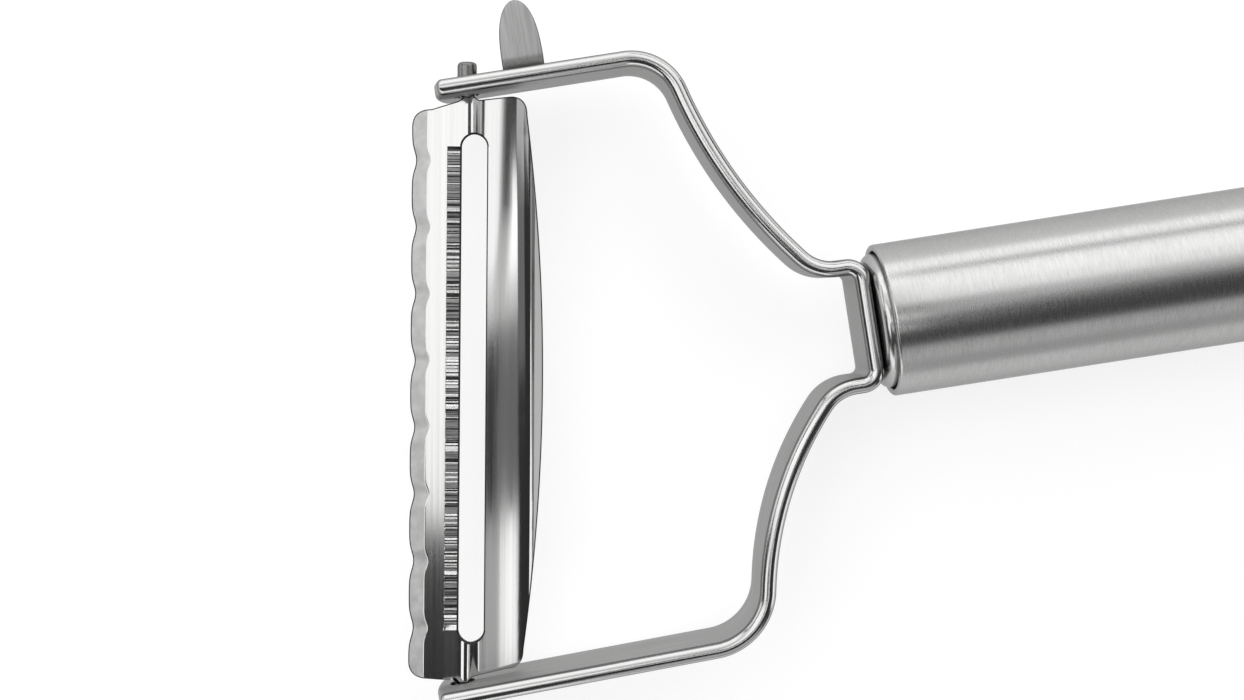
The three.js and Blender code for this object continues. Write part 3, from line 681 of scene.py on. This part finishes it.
def blade_plan():
    """The sheet's columns in plan at each ray: the slot's edge, the lip and the cut behind it, the face from
    the inner line to the outer one, then the bevel or facet, and the rim. Also how far the rim is rolled."""
    def across(a, b, shares):
        return a[:, None] + shares * (b - a)[:, None]

    slot, inner, outer, rim = np.moveaxis(rays, 1, 0)
    lip = lip_width / np.maximum(np.linalg.norm(inner - slot, axis=1), lip_least)
    lip = np.minimum(lip, 0.8)[:, None, None]
    outer, edge, rolled = broken_rim(slot, outer, rim)
    plan = np.concatenate([
        slot[:, None], across(slot, inner, lip + (1 - lip) * cut_shares), across(inner, outer, face_shares),
        across(outer, edge, edge_shares), rim[:, None],
    ], 1)
    return plan, rolled


def mill_cut(u, s):
    """How deep the mill goes at each place in front of the slot, and the finishes, painted highlight and
    painted shade, in the half next to the slot and in the half behind; the end wall gets painted shade. The
    cut runs in and out at its ends, deepens towards the slot and drops off at the lip. The two halves share
    most of their marks, in stretches of equal length."""
    stretch, shared_part, at_lip, wall_width = 20, 0.95, 0.98, 0.16 * MM
    run = rays[in_front, 0, 1]
    share = np.clip((u - cut_line) / (slot_front - cut_line), 0, 1)
    way_in, way_out = (0.1 + 0.3 * share) * MM, (0.5 + 0.45 * share) * MM
    run_in, run_out = np.clip((cut_top - s) / way_in, 0, 1), np.clip((s - cut_low) / way_out, 0, 1)
    inside = (share > 0.01) * np.minimum(run_in, run_out)
    (back_marks, back_finish), (edge_marks, edge_finish) = (milled(run) for _ in range(2))
    shared = mill_marks.random(front_count // stretch + 1).repeat(stretch)[:front_count] < shared_part
    edge_marks = np.where(shared, back_marks, edge_marks)
    edge_finish = np.where(shared, back_finish, edge_finish)
    marks = np.where(share < 0.5, back_marks[:, None], edge_marks[:, None])
    depth = (0.03 + 0.11 * share + 0.32 * (share > at_lip)) * MM
    depth = inside * (depth + marks * (share < at_lip) * (s > cut_end))
    marked, end_wall = (run < cut_top) & (run > cut_end), run > cut_top - wall_width
    halves = (np.where(end_wall, on_painted_shade, half) for half in (edge_finish, back_finish))
    return depth, *(np.where(marked, half, on_face)[:, None] for half in halves)


facet_slope, ridge_slope, ridge_place = 0.3, 0.6, 0.45 * MM
slot_break, rim_break, roll_drop = 0.1 * MM, 0.12 * MM, 0.2 * MM
under_break, least_wall = 0.08 * MM, 0.06 * MM


def blade_skin():
    """The sheet's closed section at each ray: up the slot's wall, out over the face, round the edge and back
    below. The underside lies one sheet thickness under the face, square to the flap's bend, and needs fewer
    columns. The flap's facet turns down by one slope and, past its ridge, by a second one more."""
    plan, rolled = blade_plan()
    u, s = np.moveaxis(plan, -1, 0)
    height = sheet_face(u, s)
    below = height - sheet
    height[:, 0] -= slot_break
    height[:, rim_at] -= rim_break + roll_drop * rolled
    bevel = np.clip(bevel_line(s[in_front]) - u[in_front], 0, None) / (guard_line - guard_edge)
    height[in_front] -= guard_drop * bevel
    cut, edge_finish, back_finish = mill_cut(u[in_front], s[in_front])
    height[in_front] -= cut
    over = u[behind] - facet_line
    turned_down = facet_slope * np.clip(over, 0, None) + ridge_slope * np.clip(over - ridge_place, 0, None)
    height[behind] -= turned_down
    below[behind] -= turned_down
    _, wide, tight = sheet_slope(u, s)
    tilt = wide / sink_radius + np.arcsin(tight / flap_radius)
    under = np.stack([u - sheet * np.sin(tilt), s, below + sheet * (1 - np.cos(tilt))], -1)
    upper = np.stack([u, s, height], -1)
    lower = under[:, under_at]
    raised = lower[:, [0, -1], 2] + under_break
    lower[:, [0, -1], 2] = np.minimum(raised, upper[:, [-1, 0], 2] - least_wall)
    finish = np.full((len(rays), rim_at + 1 + len(under_at)), on_face)
    finish[in_front, outer_at + 1:rim_at] = on_ground
    finish[in_front, edge_half], finish[in_front, back_half] = edge_finish, back_finish
    rim = plan[:, rim_at]
    lower_rear = (rim[:, 1] < bottom["guard"]) & (rim[:, 0] > neck_rear)
    # The slot's wall, the rim and the row inside it are painted shade as dark outlines. The row inside keeps
    # the face where the rim is rolled and behind the lower neck.
    finish[:, rim_at - 1] = np.where((rolled > 0.3) | lower_rear, on_face, on_painted_shade)
    finish[:, [0, rim_at, -1]] = on_painted_shade
    return about_pivot(np.concatenate([upper, lower], 1)), finish


pin_start, pin_swell, pin_round = 1.05 * MM, 0.7 * MM, 0.5 * MM


def pin_profile(end):
    """A pin's outline, as (distance along the pivot, radius): it grows out of the neck as a quarter ellipse
    does and ends in a rounded tip."""
    tip = abs(end["tip"])
    grow = arc((0, 0), 1, 180, 90, 12) * [pin_swell, pin_radius] + [abs(end["front"][1]) + pin_start, 0]
    curve = arc((tip - pin_round, pin_radius - pin_round), pin_round, 90, 0, 10)
    return np.concatenate([grow, curve, [(tip, 0)]]) * [end["side"], 1]


blade_steel = steel("face_brushed_steel", 0.43, 0.48, (0.07, 0.13), (2200, 12, 1), turned=-skew, depth=0.0010)
ground_steel = steel("ground_bevel_steel", 0.33, 0.39, (0.36, 0.46), (900, 900, 900), depth=0.002)
# A bright copy of the steel: a painted highlight on the milled steps that slope up.
painted_highlight_milled_steel = steel("milled_painted_highlight", 0.75, 0.95, (0.16, 0.24), (300, 9000, 1), turned=-skew, depth=0.002)
# A darker, rougher copy of the steel: painted shade on the dull milled steps.
painted_shade_dull_steel = steel("milled_dull_painted_shade", 0.08, 0.44, (0.25, 0.35), (300, 9000, 1), turned=-skew, depth=0.002)
skin_grid, skin_finish = blade_skin()
blade_shells = [shell(skin_grid, wrap=(True, True), finish=skin_finish)]
# The pins take the dark copy of the steel: painted shade.
blade_shells += [shell(pivot_round(pin_profile(end)), finish=on_pin_painted_shade) for end in (top, bottom)]
blade_finishes = [blade_steel, ground_steel, painted_highlight_milled_steel, painted_edge_shade_steel, painted_shade_steel, painted_shade_dull_steel]
blade = build("peeling_blade", blade_shells, blade_finishes, crease=24)
seat(blade, "blade", "blade")

# Rear cap: a turned steel end with a shank in the tube, a short flange and a dome.
# A groove across the dome holds the ring.
cap_end, cap_seat = tube_rear - 7 * MM, tube_rear + 0.1 * MM
cap_flange = 1.6 * MM
cap_dome = 6 * MM
cap_edge = 0.35 * MM
ring_radius = 8.5 * MM
ring_wire = 1.4 * MM
ring_sunk = 2.4 * MM
ring_room = 0.3 * MM
ring_x = tube_rear + cap_flange + cap_dome + ring_radius + ring_wire - ring_sunk


def wire_ring(wire, turns=160, sides=40):
    """A torus that lies level: a circle of the wire's radius carried round the ring's centreline."""
    a = np.linspace(0, 2 * np.pi, turns, endpoint=False)[:, None]
    b = np.linspace(0, 2 * np.pi, sides, endpoint=False)
    out = ring_radius + wire * np.cos(b)
    x, y = ring_x + out * np.cos(a), out * np.sin(a)
    return np.stack(np.broadcast_arrays(x, y, axis_height + wire * np.sin(b)), -1)


dome = arc((0, 0), 1, 90, 0, 40) * [cap_dome, tube_radius] + [tube_rear + cap_flange, 0]
cap_profile = np.concatenate([
    [(cap_end, 0), (cap_end, plug_shank), (cap_seat, plug_shank)],
    arc((cap_seat + cap_edge, tube_radius - cap_edge), cap_edge, 180, 90, 8),
    dome,
])
cap_steel = steel("polished_cap_steel", 0.42, 0.48, (0.08, 0.14), (400, 2600, 2600), depth=0.0005)
cap = build("end_cap", [shell(turn(cap_profile))], [cap_steel])
cut_out(cap, wire_ring(ring_wire + ring_room), wrap=(True, True))
seat(cap, "frame", "rear_cap")

# Hanging ring: a ring of round steel wire, let into the cap's groove and welded there, for a hook or a rail.
# It is drawn wire, polished, so its faint grain runs round the ring.
ring_steel = steel("drawn_ring_steel", 0.43, 0.49, (0.06, 0.12), (90, 5200, 1), depth=0.0006, drawn="UV")
ring = build("hang_ring", [shell(wire_ring(ring_wire), wrap=(True, True))], [ring_steel])
seat(ring, "frame", "hanging_ring")

# Stage: a white table under a ceiling of soft boxes, widest behind and on the left, with small ones in the
# middle for the bands of the flap, and with boxes that stand low round the table.
# The camera looks straight down, turned so that the handle rises to the right.
camera_turn = np.radians(-8.82)
camera_foot = np.array([-94.91, 9.31]) * MM
camera_height = 214.98 * MM
table_half, table_glow = 6, 0.76
ceiling = 0.65


def staged(right, up):
    """A place on the table in the camera's own directions, in metres from the point under the lens."""
    turn_x, turn_y = np.cos(camera_turn), np.sin(camera_turn)
    return camera_foot + np.array([right * turn_x - up * turn_y, right * turn_y + up * turn_x])


floor_mesh = bpy.data.meshes.new("table")
floor_corners = [(-1, -1, 0), (1, -1, 0), (1, 1, 0), (-1, 1, 0)]
floor_mesh.from_pydata((table_half * np.array(floor_corners)).tolist(), [], [(0, 1, 2, 3)])
floor = bpy.data.objects.new("table", floor_mesh)
bpy.context.scene.collection.objects.link(floor)
white = bpy.data.materials.new("white_table")
white.use_nodes = True
tree = white.node_tree
tree.nodes.remove(tree.nodes["Principled BSDF"])
paper = add_node(tree, "BsdfDiffuse", Color=(0.3, 0.3, 0.3, 1))
glow = add_node(tree, "Emission")
seen = add_node(tree, "LightPath")
either = seen.outputs["Is Camera Ray"]
for ray in ("Is Glossy Ray", "Is Transmission Ray"):
    most = add_node(tree, "Math")
    most.operation = "MAXIMUM"
    tree.links.new(either, most.inputs[0])
    tree.links.new(seen.outputs[ray], most.inputs[1])
    either = most.outputs["Value"]
lift = add_node(tree, "Math")
lift.operation = "MULTIPLY"
lift.inputs[1].default_value = table_glow
tree.links.new(either, lift.inputs[0])
tree.links.new(lift.outputs["Value"], glow.inputs["Strength"])
added = add_node(tree, "AddShader")
tree.links.new(paper.outputs["BSDF"], added.inputs[0])
tree.links.new(glow.outputs["Emission"], added.inputs[1])
tree.links.new(added.outputs["Shader"], tree.nodes["Material Output"].inputs["Surface"])
floor_mesh.materials.append(white)


def panel(name, right, up, size, radiance, height=ceiling, turned=0, tipped=0):
    """A soft box, facing down unless it is tipped. Its power is pi times its area times the brightness it
    shows in a mirror. Where two overlap, one lies a little higher."""
    lamp = bpy.data.lights.new(name, "AREA")
    lamp.shape = "RECTANGLE"
    lamp.size, lamp.size_y = size
    lamp.energy = np.pi * size[0] * size[1] * radiance
    made = bpy.data.objects.new(name, lamp)
    made.location = (*staged(right, up), height)
    made.rotation_euler = (np.radians(tipped), 0, np.radians(turned) + camera_turn)
    made.visible_camera = False
    bpy.context.scene.collection.objects.link(made)


panel("over_box", 0.63, 0.92, (1.14, 0.84), 2.0)
panel("over_edge", 0.63, 0.37, (1.14, 0.26), 1.75)
panel("over_left_box", -0.42, 1.03, (0.96, 0.62), 2.0)
panel("over_left_middle", -0.42, 0.57, (0.96, 0.30), 1.4)
panel("over_left_edge", -0.42, 0.32, (0.96, 0.20), 0.9)
panel("left_box", -0.447, 0.1233, (0.9, 0.30), 2.0, height=0.649, turned=-12)
panel("low_left_fill", -0.55, -0.24, (0.55, 0.36), 2.0)
panel("left_low_box", -1.1, 0.5, (0.9, 0.5), 1.5, height=0.25, turned=90, tipped=-90)
panel("far_low_box", 0.6, 0.9, (1.2, 0.30), 2.0, height=0.15, tipped=-90)
panel("far_left_box", -0.45, 0.9, (0.9, 0.44), 2.0, height=0.22, tipped=-90)
panel("wedge_box", 0.10, 0.03, (0.10, 0.06), 2.4)
panel("wedge_fill", 0.0675, -0.01, (0.165, 0.02), 1.15)
panel("valley_fill", 0.0175, 0.015, (0.065, 0.03), 0.9)
panel("front_middle", 0.095, -0.065, (0.11, 0.09), 0.2)
panel("front_strip", 0.105, -0.15, (0.09, 0.08), 2.0)
panel("front_fill", 0.015, -0.15, (0.09, 0.08), 0.7)
panel("near_fill", 0.6, -0.98, (0.9, 0.6), 0.75, tipped=30)
panel("near_low_box", 0.65, -0.95, (1.0, 0.36), 0.5, height=0.2, tipped=90)
panel("near_left_box", -0.4, -0.95, (1.1, 0.42), 1.8, height=0.21, tipped=90)
panel("right_fill", 0.34, 0.155, (0.36, 0.17), 0.9, height=0.651)
panel("right_far_fill", 0.735, 0.175, (0.43, 0.15), 0.9, height=0.651)
panel("right_low_fill", 0.32, 0.01, (0.32, 0.12), 0.22, height=0.652)
panel("right_low_box", 1.1, -0.265, (0.47, 0.56), 1.9, height=0.3, turned=-90, tipped=-90)
panel("right_far_box", 1.1, 0.26, (0.58, 0.5), 0.5, height=0.33, turned=-90, tipped=-90)
world = bpy.data.worlds.new("dim_room")
world.use_nodes = True
world.node_tree.nodes["Background"].inputs["Color"].default_value = (0.05, 0.05, 0.05, 1)
bpy.context.scene.world = world
bpy.context.scene.view_settings.view_transform = "Standard"

lens = bpy.data.cameras.new("over_camera")
lens.lens = 50.61
lens.sensor_width = 36
lens.shift_x, lens.shift_y = 0.0539, -0.0474
lens.clip_start = 0.01
camera = bpy.data.objects.new("over_camera", lens)
camera.location = (*camera_foot, camera_height)
camera.rotation_euler = (0, 0, camera_turn)
bpy.context.scene.collection.objects.link(camera)
bpy.context.scene.camera = camera
